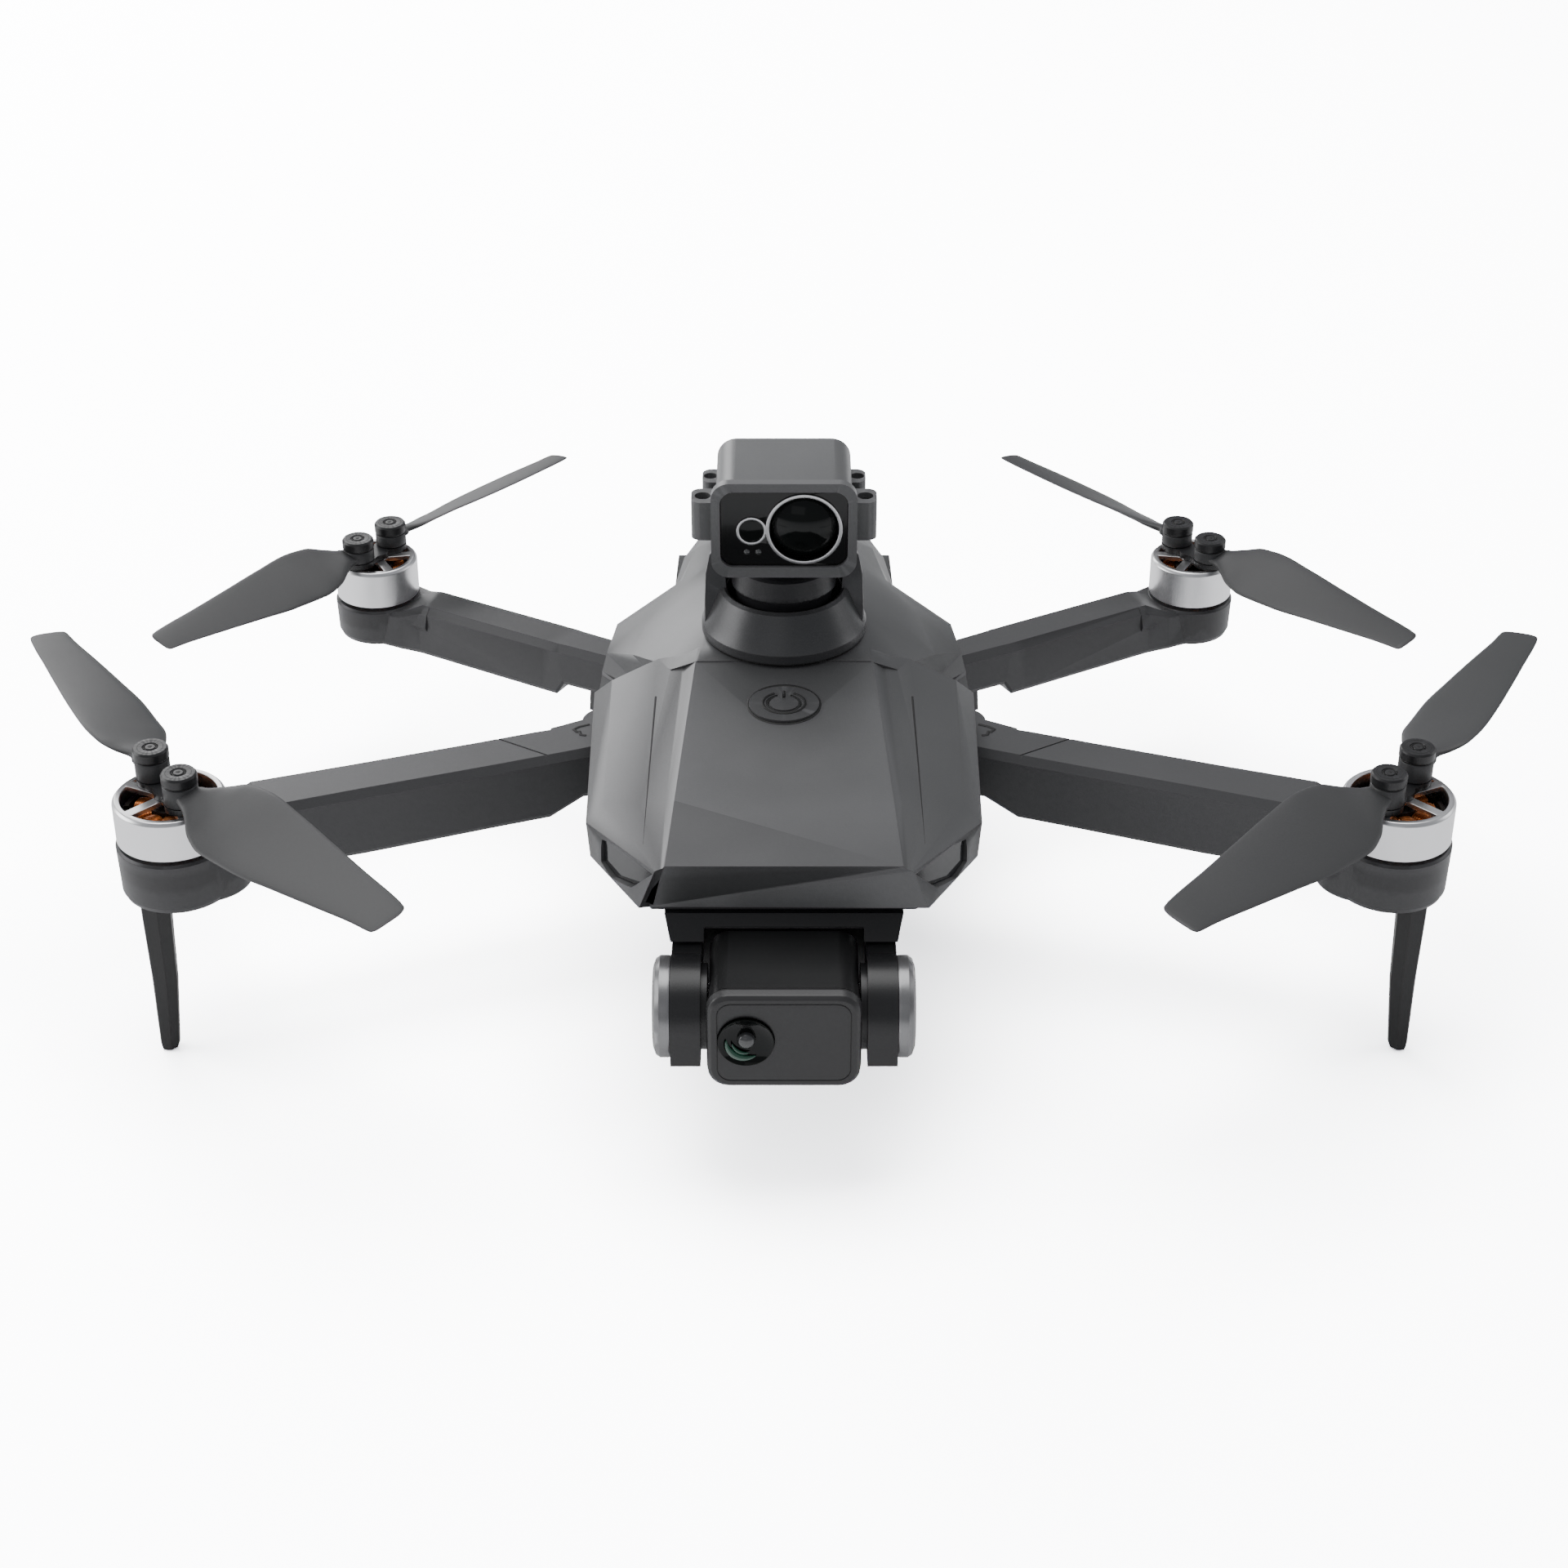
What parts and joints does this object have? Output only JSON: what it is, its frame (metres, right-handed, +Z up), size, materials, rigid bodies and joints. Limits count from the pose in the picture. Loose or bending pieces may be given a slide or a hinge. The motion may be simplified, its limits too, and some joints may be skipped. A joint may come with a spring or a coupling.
{
  "type": "quadcopter drone",
  "caption": "Folding quadcopter with hinged arms, folding propeller blades, a pitching nose camera, a turning sensor head and a slide-out battery.",
  "frame": {"origin": "centre of the footprint on the ground plane that the landing legs and rear feet stand on", "axes": "+Z up, the camera nose faces -Y, +X is the right-hand side seen from behind the camera looking at the nose, along the widest extent"},
  "size_m": [0.3968, 0.2641, 0.1308],
  "materials": {
    "lower_body": "satin moulded shell, darker than the top",
    "body_shell": "satin dark grey with a soft metallic sheen",
    "black_gloss": "glossy black window",
    "dark_plastic": "fine matte black",
    "turret_shell": "satin grey with a fine sparkle grain",
    "bearing_steel": "turned steel",
    "motor_can": "turned aluminium",
    "circuit_board": "solder-masked board",
    "ceramic": "unglazed ceramic",
    "contact_brass": "gold-plated contacts",
    "soft_rubber": "soft matte rubber",
    "fork_black": "fine satin black",
    "cap_grey": "satin grey",
    "screw_steel": "turned screw heads",
    "button_grey": "satin grey with a printed ring",
    "battery_case": "fine texture",
    "camera_black": "satin near-black",
    "camera_frame": "satin face with a thin groove",
    "lens_glass": "coated glass with a green cast",
    "neck_black": "satin black",
    "head_shell": "satin mid grey",
    "ring_metal": "machined bright ring",
    "arm_plastic": "satin dark grey",
    "leg_black": "satin near-black",
    "winding_copper": "enamelled copper coils on dark laminations",
    "bell_alloy": "satin turned aluminium",
    "hub_black": "satin black",
    "blade_plastic": "matte dark grey with a thin dark edge"
  },
  "bodies": {
    "root": {"lower_shell": "lower_body", "upper_shell": "body_shell", "corner_windows": "black_gloss", "front_sensors": "dark_plastic", "turret_base": "turret_shell", "turret_bearing": "bearing_steel", "turret_motor": "motor_can", "main_board": "circuit_board", "gps_module": "ceramic", "battery_contacts": "contact_brass", "gimbal_mount": "dark_plastic", "damper_balls": "soft_rubber", "gimbal_fork": "fork_black", "gimbal_side_caps": "cap_grey", "front_hinge_pins": "bearing_steel", "rear_hinge_pins": "bearing_steel", "foot_pads": "soft_rubber", "body_screws": "screw_steel", "belly_sensor": "dark_plastic"},
    "power_button": {"power_button": "button_grey"},
    "battery": {"battery_pack": "battery_case"},
    "latch": {"battery_latch": "dark_plastic"},
    "camera": {"camera_housing": "camera_black", "camera_front_frame": "camera_frame", "camera_lens": "lens_glass", "camera_sensor": "dark_plastic"},
    "head": {"head_neck": "neck_black", "head_housing": "head_shell", "head_window": "black_gloss", "head_rings": "ring_metal", "head_lens": "lens_glass", "head_lens_barrel": "dark_plastic", "head_screws": "screw_steel"},
    "front_arm_left": {"front_arm_left": "arm_plastic", "front_leg_left": "leg_black", "stator_front_left": "winding_copper"},
    "rear_arm_left": {"rear_arm_left": "arm_plastic", "stator_rear_left": "winding_copper"},
    "prop_front_left": {"bell_front_left": "bell_alloy", "hub_front_left": "hub_black"},
    "blade_front_left_a": {"blade_front_left_a": "blade_plastic"},
    "blade_front_left_b": {"blade_front_left_b": "blade_plastic"},
    "prop_rear_left": {"bell_rear_left": "bell_alloy", "hub_rear_left": "hub_black"},
    "blade_rear_left_a": {"blade_rear_left_a": "blade_plastic"},
    "blade_rear_left_b": {"blade_rear_left_b": "blade_plastic"},
    "front_arm_right": {"front_arm_right": "arm_plastic", "front_leg_right": "leg_black", "stator_front_right": "winding_copper"},
    "rear_arm_right": {"rear_arm_right": "arm_plastic", "stator_rear_right": "winding_copper"},
    "prop_front_right": {"bell_front_right": "bell_alloy", "hub_front_right": "hub_black"},
    "blade_front_right_a": {"blade_front_right_a": "blade_plastic"},
    "blade_front_right_b": {"blade_front_right_b": "blade_plastic"},
    "prop_rear_right": {"bell_rear_right": "bell_alloy", "hub_rear_right": "hub_black"},
    "blade_rear_right_a": {"blade_rear_right_a": "blade_plastic"},
    "blade_rear_right_b": {"blade_rear_right_b": "blade_plastic"}
  },
  "joints": [
    {"name": "button", "type": "slide", "parent": "root", "child": "power_button", "axis": [0, 0, -1], "range_m": [0, 0.0008], "stiffness_N_per_m": 400, "springref_m": -0.001},
    {"name": "battery_slide", "type": "slide", "parent": "root", "child": "battery", "axis": [0, 1, 0], "range_m": [0, 0.09]},
    {"name": "latch", "type": "slide", "parent": "battery", "child": "latch", "axis": [0, -1, 0], "range_m": [0, 0.002], "stiffness_N_per_m": 300, "springref_m": -0.001},
    {"name": "camera_pitch", "type": "hinge", "parent": "root", "child": "camera", "pos_m": [0, -0.1155, 0.044], "axis": [1, 0, 0], "range_deg": [-30, 90]},
    {"name": "head_yaw", "type": "hinge", "parent": "root", "child": "head", "pos_m": [0, 0.003, 0.09], "axis": [0, 0, 1], "continuous": true},
    {"name": "front_arm_left_fold", "type": "hinge", "parent": "root", "child": "front_arm_left", "pos_m": [-0.046, -0.0105, 0.05], "axis": [0, 0, -1], "range_deg": [0, 105]},
    {"name": "rear_arm_left_fold", "type": "hinge", "parent": "root", "child": "rear_arm_left", "pos_m": [-0.046, 0.033, 0.0376], "axis": [-0.866, -0.5, 0], "range_deg": [0, 180]},
    {"name": "front_left_spin", "type": "hinge", "parent": "front_arm_left", "child": "prop_front_left", "pos_m": [-0.1496, -0.064, 0.06], "axis": [0, 0, 1], "continuous": true},
    {"name": "front_left_a_fold", "type": "hinge", "parent": "prop_front_left", "child": "blade_front_left_a", "pos_m": [-0.14509, -0.06999, 0.07], "axis": [0, 0, 1], "range_deg": [-12, 60]},
    {"name": "front_left_b_fold", "type": "hinge", "parent": "prop_front_left", "child": "blade_front_left_b", "pos_m": [-0.15411, -0.05801, 0.07], "axis": [0, 0, -1], "range_deg": [-12, 60]},
    {"name": "rear_left_spin", "type": "hinge", "parent": "rear_arm_left", "child": "prop_rear_left", "pos_m": [-0.116, 0.0715, 0.06], "axis": [0, 0, 1], "continuous": true},
    {"name": "rear_left_a_fold", "type": "hinge", "parent": "prop_rear_left", "child": "blade_rear_left_a", "pos_m": [-0.11209, 0.07669, 0.07], "axis": [0, 0, 1], "range_deg": [-12, 60]},
    {"name": "rear_left_b_fold", "type": "hinge", "parent": "prop_rear_left", "child": "blade_rear_left_b", "pos_m": [-0.11991, 0.06631, 0.07], "axis": [0, 0, -1], "range_deg": [-12, 60]},
    {"name": "front_arm_right_fold", "type": "hinge", "parent": "root", "child": "front_arm_right", "pos_m": [0.046, -0.0105, 0.05], "axis": [0, 0, 1], "range_deg": [0, 105]},
    {"name": "rear_arm_right_fold", "type": "hinge", "parent": "root", "child": "rear_arm_right", "pos_m": [0.046, 0.033, 0.0376], "axis": [-0.866, 0.5, 0], "range_deg": [0, 180]},
    {"name": "front_right_spin", "type": "hinge", "parent": "front_arm_right", "child": "prop_front_right", "pos_m": [0.1496, -0.064, 0.06], "axis": [0, 0, 1], "continuous": true},
    {"name": "front_right_a_fold", "type": "hinge", "parent": "prop_front_right", "child": "blade_front_right_a", "pos_m": [0.14509, -0.06999, 0.07], "axis": [0, 0, -1], "range_deg": [-12, 60]},
    {"name": "front_right_b_fold", "type": "hinge", "parent": "prop_front_right", "child": "blade_front_right_b", "pos_m": [0.15411, -0.05801, 0.07], "axis": [0, 0, 1], "range_deg": [-12, 60]},
    {"name": "rear_right_spin", "type": "hinge", "parent": "rear_arm_right", "child": "prop_rear_right", "pos_m": [0.116, 0.0715, 0.06], "axis": [0, 0, 1], "continuous": true},
    {"name": "rear_right_a_fold", "type": "hinge", "parent": "prop_rear_right", "child": "blade_rear_right_a", "pos_m": [0.11209, 0.07669, 0.07], "axis": [0, 0, -1], "range_deg": [-12, 60]},
    {"name": "rear_right_b_fold", "type": "hinge", "parent": "prop_rear_right", "child": "blade_rear_right_b", "pos_m": [0.11991, 0.06631, 0.07], "axis": [0, 0, 1], "range_deg": [-12, 60]}
  ],
  "couplings": [
    {"joint": "rear_arm_left_fold", "follows": "front_arm_left_fold", "ratio": 1.7143},
    {"joint": "rear_arm_right_fold", "follows": "front_arm_right_fold", "ratio": 1.7143}
  ]
}
